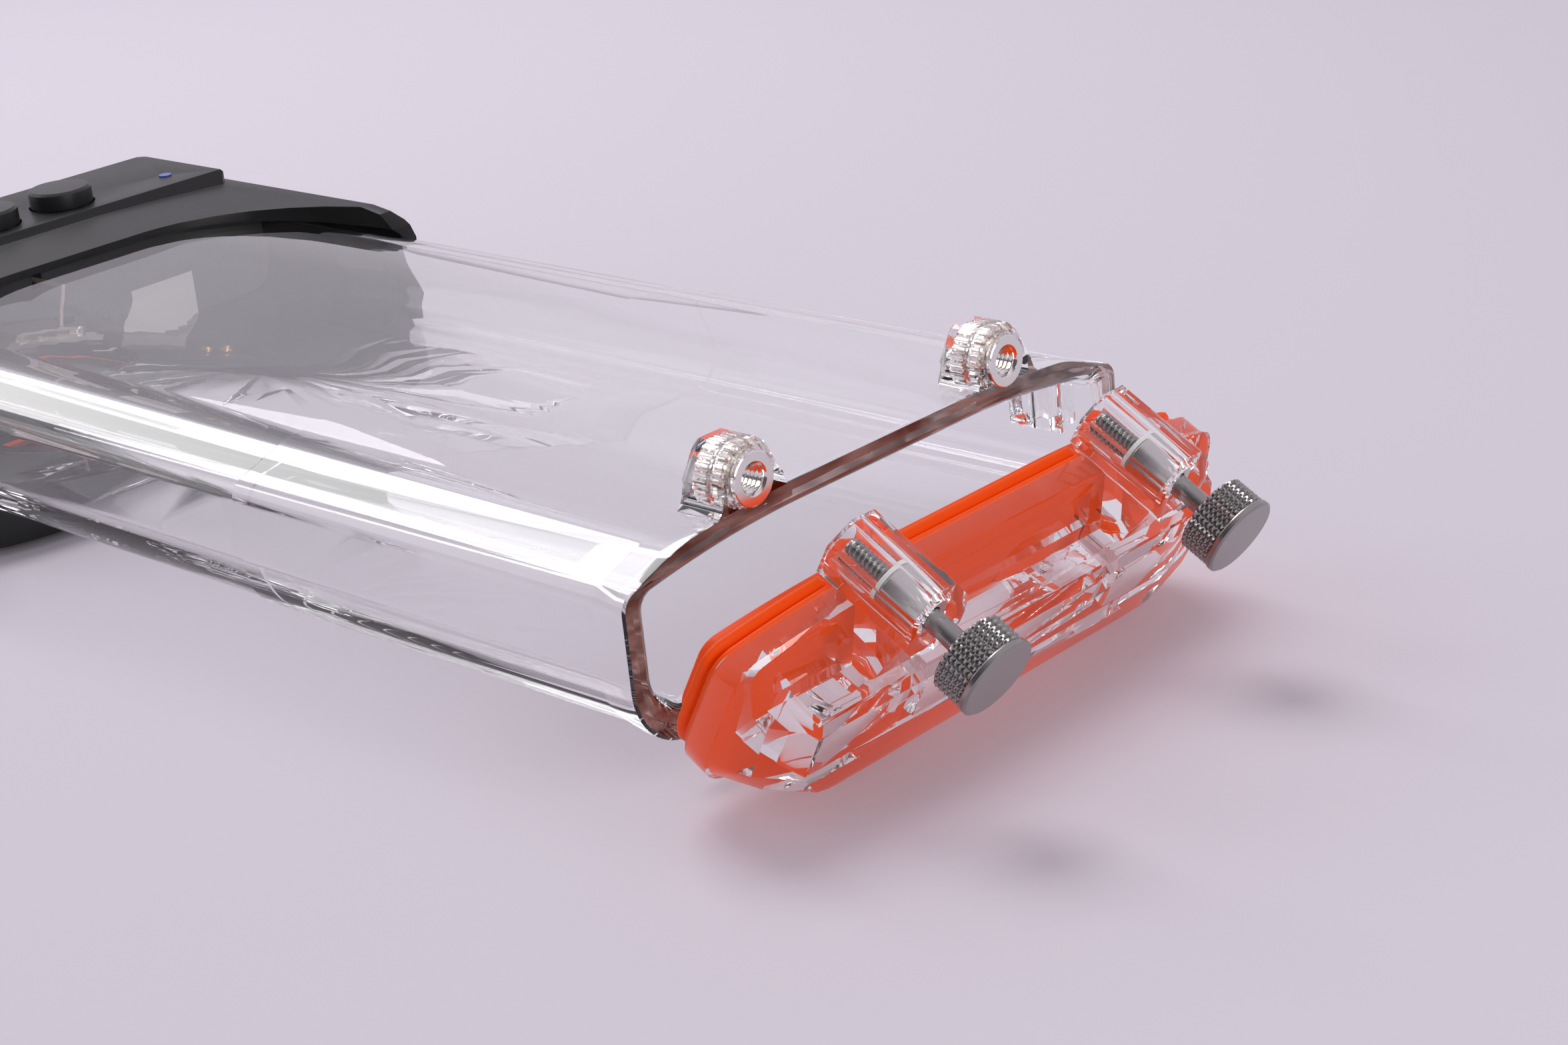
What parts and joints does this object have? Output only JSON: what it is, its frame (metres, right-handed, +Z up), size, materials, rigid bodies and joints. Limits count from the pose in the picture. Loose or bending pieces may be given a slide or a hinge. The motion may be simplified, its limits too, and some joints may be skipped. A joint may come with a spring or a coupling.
{
  "type": "waterproof phone case",
  "caption": "Waterproof phone case: clear housing with a hinged clear end cap, orange seal and captive thumb screws, and a black control head with buttons",
  "frame": {"origin": "middle of the phone bay's mouth, in the plane of the housing's rim", "axes": "+X runs along the housing and out of its mouth, +Z is up, away from the surface it stands on, +Y completes a right-handed frame"},
  "size_m": [0.2789, 0.1084, 0.0423],
  "materials": {
    "clear_shell": "clear polished polycarbonate",
    "clear_cap": "clear polished polycarbonate",
    "orange_silicone": "smooth satin silicone",
    "orange_gasket": "satin silicone cord",
    "black_cover": "fine satin, black",
    "black_base": "satin, black",
    "black_button": "satin, black",
    "rubber_black": "matte",
    "dark_aluminium": "black anodised, satin",
    "window_glass": "polished optical glass",
    "screw_steel": "turned and knurled, satin",
    "bush_steel": "turned, satin",
    "zinc_screw": "blackened",
    "pin_steel": "ground",
    "spring_steel": "drawn wire",
    "nickel_brass": "nickel-plated brass",
    "nylon_white": "smooth",
    "light_pipe": "tinted, polished",
    "stop_plastic": "satin, black",
    "connector_metal": "bright, moulded details",
    "gold": "gold plated",
    "wire_sleeve": "thin insulated lead",
    "board_green": "solder mask",
    "switch_dark": "moulded",
    "battery_foil": "wrapped cell"
  },
  "bodies": {
    "housing": {"housing_shell": "clear_shell", "insert_near": "nickel_brass", "insert_far": "nickel_brass", "hinge_pin_near": "pin_steel", "hinge_pin_far": "pin_steel", "head_cover": "black_cover", "head_base": "black_base", "head_feet": "rubber_black", "base_screws": "zinc_screw", "camera_glass": "window_glass", "glass_ring": "dark_aluminium", "glass_gasket": "orange_gasket", "status_light": "light_pipe", "bay_stop": "stop_plastic", "contact_block": "connector_metal", "leak_pins": "gold", "sensor_wire": "wire_sleeve", "circuit_board": "board_green", "tact_switches": "switch_dark", "battery": "battery_foil", "button_spring_1": "spring_steel", "button_spring_2": "spring_steel", "button_spring_3": "spring_steel", "button_spring_4": "spring_steel"},
    "cap": {"cap_plate": "clear_cap", "cap_seal": "orange_silicone", "bush_near": "bush_steel", "bush_far": "bush_steel"},
    "ring_near": {"slip_ring_near": "nylon_white"},
    "ring_far": {"slip_ring_far": "nylon_white"},
    "screw_near": {"thumb_screw_near": "screw_steel"},
    "screw_far": {"thumb_screw_far": "screw_steel"},
    "button_1": {"button_1": "black_button", "button_seal_1": "rubber_black"},
    "button_2": {"button_2": "black_button", "button_seal_2": "rubber_black"},
    "button_3": {"button_3": "black_button", "button_seal_3": "rubber_black"},
    "button_4": {"button_4": "black_button", "button_seal_4": "rubber_black"}
  },
  "joints": [
    {"name": "cap_hinge", "type": "hinge", "parent": "housing", "child": "cap", "pos_m": [-0.0022, 0, -0.01435], "axis": [0, 1, 0], "range_deg": [-30.2, 60]},
    {"name": "screw_draw_near", "type": "slide", "parent": "cap", "child": "ring_near", "axis": [0.8643, 0, -0.503], "range_m": [-0.0046, 0]},
    {"name": "screw_turn_near", "type": "hinge", "parent": "ring_near", "child": "screw_near", "pos_m": [0.02501, -0.02555, 0.00418], "axis": [0.8643, 0, -0.503], "continuous": true},
    {"name": "screw_draw_far", "type": "slide", "parent": "cap", "child": "ring_far", "axis": [0.8643, 0, -0.503], "range_m": [-0.0046, 0]},
    {"name": "screw_turn_far", "type": "hinge", "parent": "ring_far", "child": "screw_far", "pos_m": [0.02501, 0.02555, 0.00418], "axis": [0.8643, 0, -0.503], "continuous": true},
    {"name": "button_press_1", "type": "slide", "parent": "housing", "child": "button_1", "axis": [0, 0, -1], "range_m": [0, 0.0012], "stiffness_N_per_m": 600, "springref_m": -0.002, "deforming": ["button_spring_1"]},
    {"name": "button_press_2", "type": "slide", "parent": "housing", "child": "button_2", "axis": [0, 0, -1], "range_m": [0, 0.0012], "stiffness_N_per_m": 600, "springref_m": -0.002, "deforming": ["button_spring_2"]},
    {"name": "button_press_3", "type": "slide", "parent": "housing", "child": "button_3", "axis": [0, 0, -1], "range_m": [0, 0.0012], "stiffness_N_per_m": 600, "springref_m": -0.002, "deforming": ["button_spring_3"]},
    {"name": "button_press_4", "type": "slide", "parent": "housing", "child": "button_4", "axis": [0, 0, -1], "range_m": [0, 0.0012], "stiffness_N_per_m": 600, "springref_m": -0.002, "deforming": ["button_spring_4"]}
  ]
}
